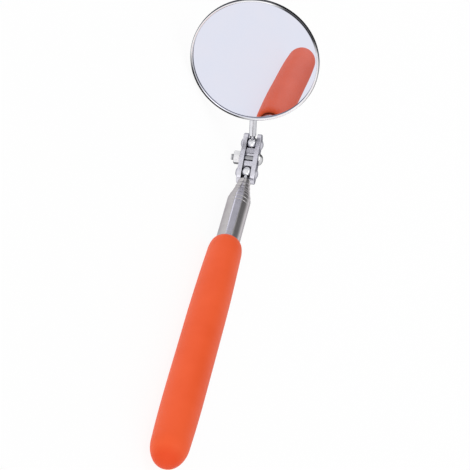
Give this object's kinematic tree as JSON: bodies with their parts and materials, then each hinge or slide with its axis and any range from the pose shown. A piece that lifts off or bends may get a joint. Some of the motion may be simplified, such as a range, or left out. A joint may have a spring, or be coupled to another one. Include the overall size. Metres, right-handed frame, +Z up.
{
  "type": "telescoping inspection mirror",
  "caption": "Round mirror on a double ball joint clamp at the end of a telescoping steel tube with a soft tapered sleeve grip.",
  "frame": {"origin": "on the handle's axis, at the middle of the grip's cylindrical stretch", "axes": "+X along the handle from the grip's closed end towards the mirror; +Z up with the tool lying on a table on its grip and mirror rim; the mirror is offset towards +Y and a little up"},
  "size_m": [0.2143, 0.0803, 0.0578],
  "materials": {
    "grip_vinyl": "dip-moulded soft vinyl, satin",
    "tube_steel": "drawn stainless steel, fine lengthwise polish",
    "sleeve_brass": "spring brass, plain",
    "ball_chrome": "bright plated",
    "plate_nickel": "stamped, bright nickel plated",
    "fastener_zinc": "bright zinc plated",
    "stem_chrome": "bright plated",
    "rim_chrome": "polished, plated",
    "mirror_glass": "clear float glass over silvering",
    "silvering": "silvered layer",
    "backing_pad": "thin pressed card"
  },
  "bodies": {
    "handle": {"grip_sleeve": "grip_vinyl", "outer_tube": "tube_steel"},
    "section_2": {"tube_2": "tube_steel", "friction_sleeve_2": "sleeve_brass"},
    "section_3": {"tube_3": "tube_steel", "friction_sleeve_3": "sleeve_brass"},
    "section_4": {"tube_4": "tube_steel", "friction_sleeve_4": "sleeve_brass"},
    "section_5": {"tube_5": "tube_steel", "friction_sleeve_5": "sleeve_brass"},
    "section_6": {"tube_6": "tube_steel", "friction_sleeve_6": "sleeve_brass"},
    "lower_ball": {"lower_ball_stud": "ball_chrome"},
    "clamp": {"clamp_plate_head": "plate_nickel", "clamp_plate_nut": "plate_nickel", "hex_nut": "fastener_zinc"},
    "screw": {"clamp_screw": "fastener_zinc"},
    "upper_ball": {"upper_ball_stud": "ball_chrome"},
    "mirror_head": {"mirror_stem": "stem_chrome", "stem_bracket": "plate_nickel", "mirror_cup": "rim_chrome", "mirror_glass": "mirror_glass", "mirror_silvering": "silvering", "backing_pad": "backing_pad"}
  },
  "joints": [
    {"name": "slide_2", "type": "slide", "parent": "handle", "child": "section_2", "axis": [1, 0, 0], "range_m": [0, 0.1287]},
    {"name": "slide_3", "type": "slide", "parent": "section_2", "child": "section_3", "axis": [1, 0, 0], "range_m": [0, 0.1302]},
    {"name": "slide_4", "type": "slide", "parent": "section_3", "child": "section_4", "axis": [1, 0, 0], "range_m": [0, 0.131]},
    {"name": "slide_5", "type": "slide", "parent": "section_4", "child": "section_5", "axis": [1, 0, 0], "range_m": [0, 0.1324]},
    {"name": "slide_6", "type": "slide", "parent": "section_5", "child": "section_6", "axis": [1, 0, 0], "range_m": [0, 0.1346]},
    {"name": "tube_twist", "type": "hinge", "parent": "section_6", "child": "lower_ball", "pos_m": [0.116, 0, 0], "axis": [1, 0, 0], "continuous": true},
    {"name": "lower_ball_tilt", "type": "hinge", "parent": "lower_ball", "child": "clamp", "pos_m": [0.1295, 0, 0], "axis": [0, -0.4335, 0.9012], "range_deg": [-110, 45]},
    {"name": "screw_turn", "type": "hinge", "parent": "clamp", "child": "screw", "pos_m": [0.13685, 0.00261, 0.00126], "axis": [0, -0.4335, 0.9012], "continuous": true},
    {"name": "upper_ball_tilt", "type": "hinge", "parent": "clamp", "child": "upper_ball", "pos_m": [0.1442, 0.00522, 0.00251], "axis": [0, -0.4335, 0.9012], "range_deg": [-120, 20]},
    {"name": "mirror_spin", "type": "hinge", "parent": "upper_ball", "child": "mirror_head", "pos_m": [0.1442, 0.00522, 0.00251], "axis": [0.1552, 0.8902, 0.4282], "continuous": true}
  ]
}
